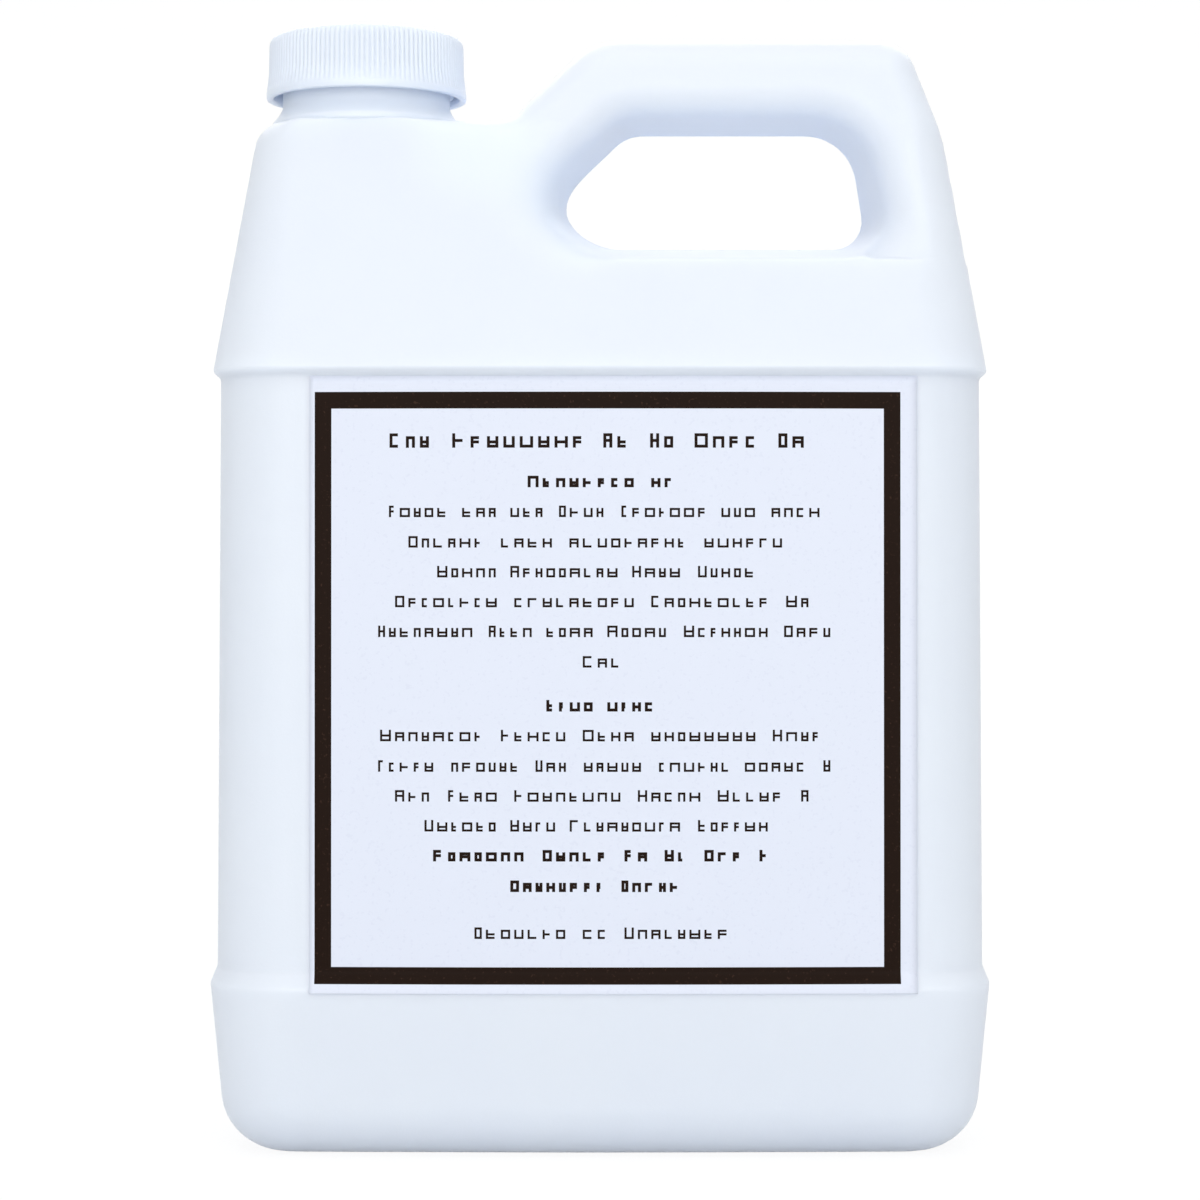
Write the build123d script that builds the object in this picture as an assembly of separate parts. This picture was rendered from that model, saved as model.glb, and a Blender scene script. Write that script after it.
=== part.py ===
from build123d import *
import math
import os

# Handled quart jug for liquid detergent: blow-moulded bottle, ribbed screw cap, sealing liner, front label.
# Millimetres. +Z is up, +X runs from the neck towards the handle, and the labelled face looks along -Y.
# The origin is on the surface that the jug stands on, midway between its sides and between its faces.

# --- bottle: lower body
body_half_width = 63.9       # middle of the jug to the label panel's side, at its top
body_half_depth = 28.6       # middle of the jug to the label panel's face, at its top
panel_lean = 0.5             # how much further out the panel stands at its foot
face_crown = 1.6             # how far each face bows out over its width
side_crown = 0.5             # how far each side wall bows out over its depth
corner_radius = 12.0         # upright corners, in plan
heel_radius = 9.0            # round from the base to the walls
base_height = 28.3           # floor to the crest of the lower ledge
base_draft = 2.5             # how far the walls draw in from that crest down to the floor
ledge_rise = 2.8             # height of the ramp from the crest in to the label panel
ledge_step = 1.1             # how far the crest stands out from the panel's foot
panel_height = 98.3          # label panel, from the ramp up to the shoulder lip
lip_step = 1.2               # how far the shoulder lip stands out from the panel's top
lip_rise = 1.1               # height of the slope under that lip
wall = 1.0                   # blown wall
push_up = 3.0                # height of the hollow under the base
push_up_round = 9.0          # plan corners of that hollow
push_up_slope = 3.0          # how far its sides draw in over its height
standing_ring = 12.0         # width of base left round the hollow, from the walls at the floor

# --- bottle: shoulder
shoulder_height = 43.1       # lip up to the platform round the neck
side_slope = 9.0             # degrees that each side leans in above the lip
shoulder_round = 4.0         # round along the edges of the platform

# --- bottle: handle and finger hole
handle_rise = 14.6           # platform up to the top of the handle
handle_crown = 0.6           # bow of the jug's faces at the height of the handle's top
handle_corner = 7.0          # upright corners of the jug's wedge at that height, in plan
handle_set_back = 0.5        # handle's faces and end, inside those of the shoulder
handle_round = 5.6           # round along the edges of the handle, at most a quarter of its thickness at the top
handle_root = 8.0            # how far the handle runs on inside the shoulder
handle_end_slope = 19.3      # degrees that the handle's end leans in, near its top
handle_end_drop = 17.3       # handle's top down to where its end starts to lean more
handle_end_bend = 30.0       # radius of that change of lean
handle_end_round = 6.5       # outer corner of the handle, seen from the front
handle_bend_round = 10.5     # where the slanted arm turns into the grip
grip_height = 15.5           # grip, top to underside
column_width = 14.6          # upright of the handle, side to side
arm_width = 14.9             # slanted arm, square across it
arm_angle = 45.0             # degrees that the arm leans from level
arm_foot_gap = 8.6           # neck's foot to the foot of the arm, along the platform
hole_floor_drop = 20.8       # platform down to the floor of the finger hole
hole_apex_rise = 6.6         # that floor up to the hole's point on the neck's side
hole_slant = 38.0            # degrees of the hole's lower edge below that point
hole_draft = 9.0             # degrees that the hole widens from the mid-plane to each face
hole_floor_round = 7.0       # hole's corner between its floor and the slanted lower edge
hole_column_round = 5.0      # hole's corner at the foot of the upright
hole_grip_round = 9.0        # hole's corner between the upright and the grip
hole_arm_round = 7.0         # hole's corner between the grip and the slanted arm
hole_apex_round = 4.0        # hole's point on the neck's side

# --- neck and screw finish
neck_from_side = 24.7        # jug's side at the lip to the neck axis
neck_radius = 14.4           # outside of the plain neck, which is also the root of its thread
neck_height = 13.6           # platform to the sealing land
neck_flare = 1.8             # how far the neck's foot spreads
flare_height = 3.4           # height of that spread
neck_wall = 2.0              # neck at the sealing land
land_round = 0.4             # outer edge of the sealing land
thread_pitch = 4.233         # six turns to the inch
thread_depth = 1.2           # neck thread above its root
thread_base = 2.2            # width of either thread at its root
thread_crest = 1.0           # width of either thread at its crest
thread_sink = 0.3            # how far either thread is rooted in its wall
thread_turns = 1.1
thread_from_land = 2.6       # sealing land down to the middle of the thread's upper end

# --- cap and liner
cap_wall = 1.3
cap_height = 10.8
cap_top = 1.2                # end wall of the cap
cap_clearance = 0.35         # crest of the neck thread to the cap's bore, across the radius
cap_draft = 0.35             # how much slimmer the cap is at its top, across the radius
cap_round = 1.8              # round at the cap's top rim
rib_count = 120
rib_depth = 0.35
rib_band = 1.3               # plain band under the ribs
cap_thread_depth = 0.9
cap_thread_lead = 0.56       # turns from the start of the neck thread to the start of the cap thread
liner_thickness = 1.0
liner_clearance = 0.3        # liner's edge to the cap's bore

# --- label
label_width = 99.9
label_height = 101.4
label_offset = 2.2           # label's middle from the jug's middle, towards the handle
label_below_lip = 0.3        # foot of the lip's slope down to the label's top edge
label_thickness = 0.12

# --- worked out from the sizes above
ledge_top = base_height + ledge_rise
panel_top = ledge_top + panel_height
lip_z = panel_top + lip_rise
platform_z = lip_z + shoulder_height
handle_top = platform_z + handle_rise
land_z = platform_z + neck_height
lip_half_width = body_half_width + lip_step
lip_half_depth = body_half_depth + lip_step
base_half_width = body_half_width + panel_lean + ledge_step - base_draft
base_half_depth = body_half_depth + panel_lean + ledge_step - base_draft
neck_foot_radius = neck_radius + neck_flare
neck_x = neck_from_side - lip_half_width
arm_foot_x = neck_x + neck_foot_radius + arm_foot_gap
side_lean = math.tan(math.radians(side_slope))
face_lean = (lip_half_depth - neck_foot_radius) / shoulder_height
arm_lean = math.tan(math.radians(arm_angle))
hole_floor_z = platform_z - hole_floor_drop
hole_apex_z = hole_floor_z + hole_apex_rise
beyond = 2 * lip_half_width  # further out than any wall of the jug
thread_end_z = land_z - thread_from_land
thread_start_z = thread_end_z - thread_turns * thread_pitch
cap_bore = neck_radius + thread_depth + cap_clearance
cap_radius = cap_bore + cap_wall
cap_top_z = land_z + liner_thickness + cap_top
cap_bottom_z = cap_top_z - cap_height


def plan_section(z, half_width, half_depth, radius, crown):
    """A level outline of the jug: four bowed sides joined by round corners."""
    side_x = half_width - side_crown
    face_y = half_depth - crown
    corners = [(-side_x, -face_y), (side_x, -face_y), (side_x, face_y), (-side_x, face_y)]
    middles = [(0, -half_depth), (half_width, 0), (0, half_depth), (-half_width, 0)]
    sides = [ThreePointArc(corners[i], middles[i], corners[(i + 1) % 4]) for i in range(4)]
    outline = make_face(sides)
    return Pos(0, 0, z) * fillet(outline.vertices(), radius)


def lower_body(inset):
    """The jug below the shoulder lip, drawn in by inset all round and at its base."""
    levels = [
        (inset, panel_lean + ledge_step - base_draft),
        (base_height, panel_lean + ledge_step),
        (ledge_top, panel_lean),
        (panel_top, 0),
        (lip_z, lip_step),
    ]
    sections = [
        plan_section(
            z,
            body_half_width + out - inset,
            body_half_depth + out - inset,
            corner_radius - inset,
            face_crown,
        )
        for z, out in levels
    ]
    body = loft(sections, ruled=True)
    heel = body.faces().sort_by(Axis.Z)[0].edges()
    return fillet(heel, heel_radius - inset)


def base_hollow(spread):
    """The shallow hollow under the base, grown by spread for the inside of the wall above it."""
    half_width = base_half_width - standing_ring + spread
    half_depth = base_half_depth - standing_ring + spread
    foot = Rectangle(2 * half_width, 2 * half_depth)
    foot = fillet(foot.vertices(), push_up_round + spread)
    roof = offset(foot, -push_up_slope)
    return loft([foot, Pos(0, 0, push_up + spread) * roof], ruled=True)


def wedge(inset):
    """The solid between the jug's leaning faces and sides, from the lip to the top of the handle."""
    rise = handle_top - lip_z
    foot = plan_section(
        lip_z,
        lip_half_width - inset,
        lip_half_depth - inset,
        corner_radius - inset,
        face_crown,
    )
    top = plan_section(
        handle_top,
        lip_half_width - side_lean * rise - inset,
        lip_half_depth - face_lean * rise - inset,
        handle_corner - inset,
        handle_crown,
    )
    return loft([foot, top], ruled=True)


def handle_end_x(z):
    """Where the handle's outer end stands at a height below its change of lean."""
    return lip_half_width - side_lean * (z - lip_z) - handle_set_back


def hole_corners():
    """The finger hole's corners in X and Z on the mid-plane: along its floor, up the column and back."""
    underside_z = handle_top - grip_height
    slant = math.radians(arm_angle)
    arm_x = arm_foot_x + arm_width * math.sin(slant)
    arm_z = platform_z - arm_width * math.cos(slant)
    apex_x = arm_x + (hole_apex_z - arm_z) / arm_lean
    column = column_width / math.cos(math.radians(side_slope))
    return [
        (apex_x + hole_apex_rise / math.tan(math.radians(hole_slant)), hole_floor_z),
        (handle_end_x(hole_floor_z) - column, hole_floor_z),
        (handle_end_x(underside_z) - column, underside_z),
        (arm_x + (underside_z - arm_z) / arm_lean, underside_z),
        (apex_x, hole_apex_z),
    ]


def rounded_outline(corners, rounds):
    """A face through the corners, each rounded by its own radius; a radius of 0 leaves a corner sharp."""
    outline = make_face(Polyline(*corners, close=True))
    for corner, radius in zip(corners, rounds):
        if radius > 0:
            vertex = outline.vertices().sort_by_distance((*corner, 0))[0]
            outline = fillet(vertex, radius)
    return outline


def front_slab(outline, half_depth):
    """A front-view outline, given in X and Z, carried half_depth to each side of the mid-plane."""
    return extrude(Plane.XZ * outline, half_depth, both=True)


def finger_hole(spread):
    """The cutter for the finger hole, which widens from the mid-plane to both faces."""
    rounds = (hole_floor_round, hole_column_round, hole_grip_round, hole_arm_round, hole_apex_round)
    middle = rounded_outline(hole_corners(), rounds)
    if spread > 0:
        middle = offset(middle, spread)
    face = offset(middle, beyond * math.tan(math.radians(hole_draft)))
    near = loft([Plane.XZ * middle, Plane.XZ.offset(beyond) * face], ruled=True)
    return near + mirror(near, about=Plane.XZ)


def handle(inset):
    """The handle's loop: a slab with leaning faces, the finger hole through it and its edges rounded."""
    bend_z = handle_top - handle_end_drop
    foot_z = lip_z + handle_root
    root_x = arm_foot_x - handle_root
    corners = [
        (root_x, foot_z),
        (handle_end_x(foot_z), foot_z),
        (handle_end_x(bend_z), bend_z),
        (handle_end_x(bend_z) - handle_end_drop * math.tan(math.radians(handle_end_slope)), handle_top),
        (arm_foot_x + handle_rise / arm_lean, handle_top),
        (root_x, platform_z - handle_root * arm_lean),
    ]
    outline = rounded_outline(corners, (0, 0, handle_end_bend, handle_end_round, handle_bend_round, 0))
    if inset > 0:
        outline = offset(outline, -inset, kind=Kind.INTERSECTION)
    depth = lip_half_depth - handle_set_back
    depth_top = depth - face_lean * (handle_top - lip_z)
    rim_round = min(handle_round, depth_top / 2) - inset
    depth -= inset
    depth_top -= inset
    profile = Polyline((-depth, lip_z), (depth, lip_z), (depth_top, handle_top), (-depth_top, handle_top), close=True)
    slab = extrude(Plane.YZ * make_face(profile), beyond, both=True)
    loop = (front_slab(outline, beyond) & slab) - finger_hole(inset)
    rims = loop.edges().filter_by(lambda edge: abs(edge.center().Y) > neck_radius / 3)
    return fillet(rims, rim_round) & wedge(inset)


def shoulder(inset):
    """The shoulder up to the platform, roofed beside the neck by the floor of the finger hole."""
    corners = hole_corners()
    floor_start_x = corners[0][0]
    floor_end_x = corners[1][0]
    apex_x = corners[4][0]
    fall = math.tan(math.radians(hole_draft))
    crease_depth = (lip_half_depth - face_lean * (hole_floor_z - lip_z)) / (1 - face_lean * fall)
    crease_z = hole_floor_z - fall * crease_depth
    into_hole = hole_apex_rise / 2
    outline = make_face(
        Polyline(
            (-beyond, lip_z - wall),
            (-beyond, platform_z),
            (arm_foot_x, platform_z),
            (apex_x + into_hole, hole_apex_z),
            (floor_start_x + into_hole, hole_floor_z + into_hole),
            (floor_end_x, hole_floor_z + into_hole),
            (floor_end_x, crease_z),
            (beyond, crease_z),
            (beyond, lip_z - wall),
            close=True,
        )
    )
    if inset > 0:
        outline = offset(outline, -inset, kind=Kind.INTERSECTION)
    block = wedge(inset) & front_slab(outline, beyond)
    platform = block.faces().sort_by(Axis.Z)[-1]
    valley = block.faces().filter_by(
        lambda face: face.normal_at().X > 0.5 and face.center().Z > hole_apex_z and face.center().X < apex_x + into_hole
    )
    rims = [edge for face in [platform, *valley] for edge in face.edges()]
    across = [edge for edge in rims if abs(edge.center().Y) < neck_radius / 3 and edge.center().X > neck_x]
    rims = [edge for edge in rims if edge not in across]
    return fillet(rims, shoulder_round - inset) - finger_hole(inset)


def thread(root_radius, depth, turns, start_z, start_turns, outward):
    """A ridge of the screw thread, rooted thread_sink deep in the wall that carries it."""
    side = 1 if outward else -1
    spine = Helix(thread_pitch, turns * thread_pitch, root_radius)
    flare = (thread_base - thread_crest) / 2 * thread_sink / depth
    ridge = make_face(
        Polyline(
            (-side * thread_sink, -thread_base / 2 - flare),
            (side * depth, -thread_crest / 2),
            (side * depth, thread_crest / 2),
            (-side * thread_sink, thread_base / 2 + flare),
            close=True,
        )
    )
    start = Plane(origin=(root_radius, 0, 0), x_dir=(1, 0, 0), z_dir=(0, -1, 0))
    ridge = sweep(start * ridge, path=spine, is_frenet=True)
    return Pos(neck_x, 0, start_z) * Rot(0, 0, 360 * start_turns) * ridge


def neck():
    """The neck with its spread foot, sealing land and thread, before its bore."""
    foot_z = platform_z - shoulder_round
    with_flare = [
        Line((0, foot_z), (neck_foot_radius, foot_z)),
        Line((neck_foot_radius, foot_z), (neck_foot_radius, platform_z)),
        EllipticalCenterArc(
            (neck_foot_radius, platform_z + flare_height), neck_flare, flare_height, start_angle=180, arc_size=90
        ),
        Line((neck_radius, platform_z + flare_height), (neck_radius, land_z)),
        Line((neck_radius, land_z), (0, land_z)),
        Line((0, land_z), (0, foot_z)),
    ]
    outside = revolve(Plane.XZ * make_face(with_flare), Axis.Z)
    outside = fillet(outside.edges().sort_by(Axis.Z)[-1], land_round)
    ridge = thread(neck_radius, thread_depth, thread_turns, thread_start_z, 0, outward=True)
    return Pos(neck_x, 0, 0) * outside + ridge


def bottle():
    """The blown bottle: its outside less its inside, open at the mouth."""
    outside = lower_body(0) + shoulder(0) + handle(0) + neck() - base_hollow(0)
    inside = lower_body(wall) + shoulder(wall) + handle(wall) - base_hollow(wall)
    mouth_depth = neck_height + shoulder_round + wall
    mouth = Pos(neck_x, 0, land_z) * Cylinder(
        neck_radius - neck_wall, mouth_depth, align=(Align.CENTER, Align.CENTER, Align.MAX)
    )
    return outside - inside - mouth


def cap():
    """The screw cap: a drafted, ribbed shell with a plain band at its foot and a thread inside."""
    shell = Polyline(
        (0, cap_bottom_z),
        (cap_radius, cap_bottom_z),
        (cap_radius, cap_bottom_z + rib_band),
        (cap_radius - cap_draft, cap_top_z),
        (0, cap_top_z),
        close=True,
    )
    body = revolve(Plane.XZ * make_face(shell), Axis.Z)
    body = fillet(body.edges().sort_by(Axis.Z)[-1], cap_round)
    rib_z = cap_bottom_z + rib_band
    step = math.pi / rib_count
    teeth = [
        (
            (cap_radius - rib_depth * (i % 2)) * math.cos(i * step),
            (cap_radius - rib_depth * (i % 2)) * math.sin(i * step),
        )
        for i in range(2 * rib_count)
    ]
    ribs = extrude(Pos(0, 0, rib_z) * make_face(Polyline(*teeth, close=True)), cap_height)
    band = Pos(0, 0, cap_bottom_z) * Cylinder(
        cap_radius, rib_band, align=(Align.CENTER, Align.CENTER, Align.MIN)
    )
    body = body & (ribs + band)
    bore = Pos(0, 0, cap_bottom_z) * Cylinder(
        cap_bore, cap_height - cap_top, align=(Align.CENTER, Align.CENTER, Align.MIN)
    )
    body = Pos(neck_x, 0, 0) * (body - bore)
    start_z = thread_start_z + thread_pitch * (cap_thread_lead - 0.5)
    return body + thread(cap_bore, cap_thread_depth, thread_turns, start_z, cap_thread_lead, outward=False)


def cap_liner():
    """The sealing disc between the end wall of the cap and the land of the neck."""
    disc = Cylinder(
        cap_bore - liner_clearance, liner_thickness, align=(Align.CENTER, Align.CENTER, Align.MIN)
    )
    return Pos(neck_x, 0, land_z) * disc


def label():
    """The front label, wrapped on the panel from under the lip down over the ledge."""
    sheet = lower_body(-label_thickness) - lower_body(0)
    top_z = panel_top - label_below_lip
    middle_z = top_z - label_height / 2
    window = Pos(label_offset, -lip_half_depth, middle_z) * Box(label_width, lip_half_depth, label_height)
    return sheet & window


def main():
    """Build each piece and write it to its own file."""
    os.makedirs("parts", exist_ok=True)
    pieces = {"bottle": bottle(), "cap": cap(), "cap_liner": cap_liner(), "label": label()}
    for name, piece in pieces.items():
        export_step(piece, f"parts/{name}.step")


main()
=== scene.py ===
"""Looks for a handled detergent jug: blown bottle, screw cap, liner, front label, and a studio."""

import logging
import math
import random
from dataclasses import dataclass, field
from enum import Enum
from typing import Callable, Sequence

import bmesh
import bpy
import numpy as np
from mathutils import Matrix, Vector


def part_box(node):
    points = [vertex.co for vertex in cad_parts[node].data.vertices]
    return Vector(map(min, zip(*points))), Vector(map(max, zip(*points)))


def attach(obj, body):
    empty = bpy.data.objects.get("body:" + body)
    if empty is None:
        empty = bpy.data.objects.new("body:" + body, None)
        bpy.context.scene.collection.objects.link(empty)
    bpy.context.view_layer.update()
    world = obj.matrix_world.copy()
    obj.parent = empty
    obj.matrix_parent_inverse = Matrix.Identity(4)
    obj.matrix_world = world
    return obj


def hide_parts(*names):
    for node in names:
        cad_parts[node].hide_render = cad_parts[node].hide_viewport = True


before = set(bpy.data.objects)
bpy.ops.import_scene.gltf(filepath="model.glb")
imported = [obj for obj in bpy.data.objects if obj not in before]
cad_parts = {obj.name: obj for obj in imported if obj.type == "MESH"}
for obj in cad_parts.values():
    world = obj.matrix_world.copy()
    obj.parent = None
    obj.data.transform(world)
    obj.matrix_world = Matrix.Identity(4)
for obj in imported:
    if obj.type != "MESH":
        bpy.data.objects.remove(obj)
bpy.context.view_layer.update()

logging.basicConfig(level=logging.INFO, format="%(message)s")
log = logging.getLogger("jug")

MM = 0.001
Array = np.ndarray


# ---------------------------------------------------------------- colours and nodes


def linear(hex_colour: str) -> tuple[float, float, float, float]:
    """Turn an sRGB hex colour into the linear colour that the shaders take.

    Args:
        hex_colour: six hex digits after a hash sign.

    Returns:
        Linear red, green and blue, and an alpha of 1.
    """
    values = [int(hex_colour[i : i + 2], 16) / 255 for i in (1, 3, 5)]
    red, green, blue = (v / 12.92 if v <= 0.04045 else ((v + 0.055) / 1.055) ** 2.4 for v in values)
    return (red, green, blue, 1.0)


def add_node(
    tree: bpy.types.NodeTree,
    kind: str,
    settings: dict[str, object] | None = None,
    inputs: dict[str | int, object] | None = None,
) -> bpy.types.Node:
    """Add one shader node, set its properties and feed its inputs.

    Args:
        tree: the material's or world's node tree.
        kind: the node's Blender type name.
        settings: property values by name.
        inputs: values or output sockets by input name or number.

    Returns:
        The new node.
    """
    node = tree.nodes.new(kind)
    for name, value in (settings or {}).items():
        setattr(node, name, value)
    for name, value in (inputs or {}).items():
        if isinstance(value, bpy.types.NodeSocket):
            tree.links.new(value, node.inputs[name])
        else:
            node.inputs[name].default_value = value
    return node


def new_material(name: str) -> tuple[bpy.types.Material, bpy.types.NodeTree]:
    """Make an empty node material.

    Args:
        name: the material's name.

    Returns:
        The material and its cleared node tree.
    """
    material = bpy.data.materials.new(name)
    material.use_nodes = True
    material.node_tree.nodes.clear()
    return material, material.node_tree


# ---------------------------------------------------------------- finishes


@dataclass(frozen=True)
class MouldedPlastic:
    """A moulded thermoplastic with a fine mould grain and a faint, slow change of tone."""

    name: str
    colour: str
    shade_colour: str          # where the wall is a little thinner and reads darker
    roughness: float
    ior: float
    subsurface: float          # share of light that goes into the wall
    scatter_mm: float          # how far that light spreads
    grain_mm: float            # size of the mould's grain
    grain_depth_mm: float
    ripple_mm: float           # size of the slow waviness left by cooling
    ripple_depth_mm: float

    def build(self) -> bpy.types.Material:
        """Make the material.

        Returns:
            A material of this plastic.
        """
        material, tree = new_material(self.name)
        place = add_node(tree, "ShaderNodeTexCoord").outputs["Object"]
        tone = add_node(
            tree,
            "ShaderNodeTexNoise",
            inputs={"Vector": place, "Scale": 1 / (self.ripple_mm * 2 * MM), "Detail": 2.0},
        )
        colour = add_node(
            tree,
            "ShaderNodeMix",
            {"data_type": "RGBA"},
            {0: tone.outputs["Fac"], 6: linear(self.colour), 7: linear(self.shade_colour)},
        )
        gloss = add_node(
            tree,
            "ShaderNodeMapRange",
            inputs={
                "Value": tone.outputs["Fac"],
                "To Min": self.roughness - 0.03,
                "To Max": self.roughness + 0.03,
            },
        )
        grain = add_node(
            tree,
            "ShaderNodeTexNoise",
            inputs={"Vector": place, "Scale": 1 / (self.grain_mm * MM), "Detail": 3.0},
        )
        ripple = add_node(
            tree,
            "ShaderNodeTexNoise",
            inputs={"Vector": place, "Scale": 1 / (self.ripple_mm * MM), "Detail": 1.0},
        )
        slow = add_node(
            tree,
            "ShaderNodeBump",
            inputs={"Height": ripple.outputs["Fac"], "Distance": self.ripple_depth_mm * MM, "Strength": 1.0},
        )
        fine = add_node(
            tree,
            "ShaderNodeBump",
            inputs={
                "Height": grain.outputs["Fac"],
                "Distance": self.grain_depth_mm * MM,
                "Strength": 1.0,
                "Normal": slow.outputs["Normal"],
            },
        )
        shader = add_node(
            tree,
            "ShaderNodeBsdfPrincipled",
            inputs={
                "Base Color": colour.outputs[2],
                "Roughness": gloss.outputs["Result"],
                "IOR": self.ior,
                "Subsurface Weight": self.subsurface,
                "Subsurface Radius": (1.0, 1.0, 1.0),
                "Subsurface Scale": self.scatter_mm * MM,
                "Normal": fine.outputs["Normal"],
            },
        )
        add_node(tree, "ShaderNodeOutputMaterial", inputs={"Surface": shader.outputs["BSDF"]})
        return material


@dataclass(frozen=True)
class LabelStock:
    """Coated label paper or the toner fused on it: a flat tone with a fine fleck."""

    name: str
    colour: str
    fleck_colour: str
    fleck_mm: float
    fleck_share: float         # share of the surface that the flecks take
    roughness: float
    grain_depth_mm: float
    shine: float               # share of the usual surface reflection
    ior: float = 1.5

    def build(self) -> bpy.types.Material:
        """Make the material.

        Returns:
            A material of this paper or ink.
        """
        material, tree = new_material(self.name)
        place = add_node(tree, "ShaderNodeTexCoord").outputs["Object"]
        grain = add_node(
            tree,
            "ShaderNodeTexNoise",
            inputs={"Vector": place, "Scale": 1 / (self.fleck_mm * MM), "Detail": 3.0},
        )
        edge = 0.5 + (0.5 - self.fleck_share) * 0.45
        fleck = add_node(
            tree,
            "ShaderNodeMapRange",
            inputs={"Value": grain.outputs["Fac"], "From Min": edge, "From Max": edge + 0.08},
        )
        colour = add_node(
            tree,
            "ShaderNodeMix",
            {"data_type": "RGBA"},
            {0: fleck.outputs["Result"], 6: linear(self.colour), 7: linear(self.fleck_colour)},
        )
        bump = add_node(
            tree,
            "ShaderNodeBump",
            inputs={"Height": grain.outputs["Fac"], "Distance": self.grain_depth_mm * MM, "Strength": 1.0},
        )
        shader = add_node(
            tree,
            "ShaderNodeBsdfPrincipled",
            inputs={
                "Base Color": colour.outputs[2],
                "Roughness": self.roughness,
                "IOR": self.ior,
                "Specular IOR Level": self.shine / 2,
                "Normal": bump.outputs["Normal"],
            },
        )
        add_node(tree, "ShaderNodeOutputMaterial", inputs={"Surface": shader.outputs["BSDF"]})
        return material


@dataclass(frozen=True)
class StudioSweep:
    """White background paper that shows as white and still takes the jug's shadow."""

    name: str = "white_studio_background_paper"
    colour: str = "#DEE0E2"
    glow: float = 0.86         # share of plain white that the camera sees
    fibre_mm: float = 1.1      # drawn coarser than real paper fibre, which is too fine to show
    fibre_depth_mm: float = 0.02

    def build(self) -> bpy.types.Material:
        """Make the material.

        Returns:
            A material that only the camera and mirror rays see lightened.
        """
        material, tree = new_material(self.name)
        place = add_node(tree, "ShaderNodeTexCoord").outputs["Object"]
        fibre = add_node(
            tree,
            "ShaderNodeTexNoise",
            inputs={"Vector": place, "Scale": 1 / (self.fibre_mm * MM), "Detail": 2.0},
        )
        bump = add_node(
            tree,
            "ShaderNodeBump",
            inputs={"Height": fibre.outputs["Fac"], "Distance": self.fibre_depth_mm * MM},
        )
        paper = add_node(
            tree,
            "ShaderNodeBsdfDiffuse",
            inputs={"Color": linear(self.colour), "Normal": bump.outputs["Normal"]},
        )
        white = add_node(tree, "ShaderNodeEmission", inputs={"Color": (1, 1, 1, 1), "Strength": 1.06})
        rays = add_node(tree, "ShaderNodeLightPath")
        either = add_node(
            tree,
            "ShaderNodeMath",
            {"operation": "MAXIMUM"},
            {0: rays.outputs["Is Camera Ray"], 1: rays.outputs["Is Glossy Ray"]},
        )
        share = add_node(
            tree, "ShaderNodeMath", {"operation": "MULTIPLY"}, {0: either.outputs[0], 1: self.glow}
        )
        mix = add_node(
            tree,
            "ShaderNodeMixShader",
            inputs={0: share.outputs[0], 1: paper.outputs["BSDF"], 2: white.outputs["Emission"]},
        )
        add_node(tree, "ShaderNodeOutputMaterial", inputs={"Surface": mix.outputs["Shader"]})
        return material


class Finish(Enum):
    """Every finish on the jug, named for its material and how it was made."""

    # High-density polyethylene, blown: satin, a touch waxy, with the sand grain of the mould.
    BLOWN_HDPE = MouldedPlastic(
        name="white_hdpe_blow_moulded",
        colour="#E7F0FF",
        shade_colour="#E3ECFE",
        roughness=0.42,
        ior=1.54,
        subsurface=0.5,
        scatter_mm=3.0,
        grain_mm=0.45,
        grain_depth_mm=0.012,
        ripple_mm=14.0,
        ripple_depth_mm=0.05,
    )
    # Polypropylene, injection-moulded: harder and a little glossier than the bottle.
    MOULDED_PP = MouldedPlastic(
        name="white_polypropylene_injection_moulded",
        colour="#E4ECF8",
        shade_colour="#DEE7F5",
        roughness=0.30,
        ior=1.49,
        subsurface=0.3,
        scatter_mm=1.0,
        grain_mm=0.3,
        grain_depth_mm=0.004,
        ripple_mm=6.0,
        ripple_depth_mm=0.01,
    )
    # Pressed polyethylene foam: dull, with open cells.
    PRESSED_FOAM = MouldedPlastic(
        name="pe_foam_pressed_liner",
        colour="#F1F0EA",
        shade_colour="#E6E4DC",
        roughness=0.75,
        ior=1.5,
        subsurface=0.1,
        scatter_mm=0.8,
        grain_mm=0.5,
        grain_depth_mm=0.06,
        ripple_mm=3.0,
        ripple_depth_mm=0.05,
    )
    # Coated label paper: smooth and cool white against the bottle.
    LABEL_PAPER = LabelStock(
        name="coated_label_paper_white",
        colour="#DDE3F1",
        fleck_colour="#D9DFEE",
        fleck_mm=0.6,
        fleck_share=0.3,
        roughness=0.5,
        grain_depth_mm=0.004,
        shine=0.6,
    )
    # Fused toner: near-black brown, slightly glossy, with fine bright pinholes.
    FUSED_TONER = LabelStock(
        name="fused_toner_dark_brown",
        colour="#1E110A",
        fleck_colour="#35241B",
        fleck_mm=0.5,
        fleck_share=0.22,
        roughness=0.4,
        grain_depth_mm=0.01,
        shine=0.12,
    )

    def build(self) -> bpy.types.Material:
        """Make this finish's material."""
        return self.value.build()


# ---------------------------------------------------------------- fields and outlines


def round_meet(a: Array, b: Array, radius: Array | float) -> Array:
    """Intersect two signed distances, rounding the edge where they meet.

    Args:
        a: distance to the first surface, negative inside it.
        b: distance to the second surface.
        radius: the edge's radius.

    Returns:
        Distance to what lies inside both.
    """
    corner = np.hypot(np.maximum(a + radius, 0), np.maximum(b + radius, 0))
    return np.minimum(np.maximum(a, b), -radius) + corner


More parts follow.
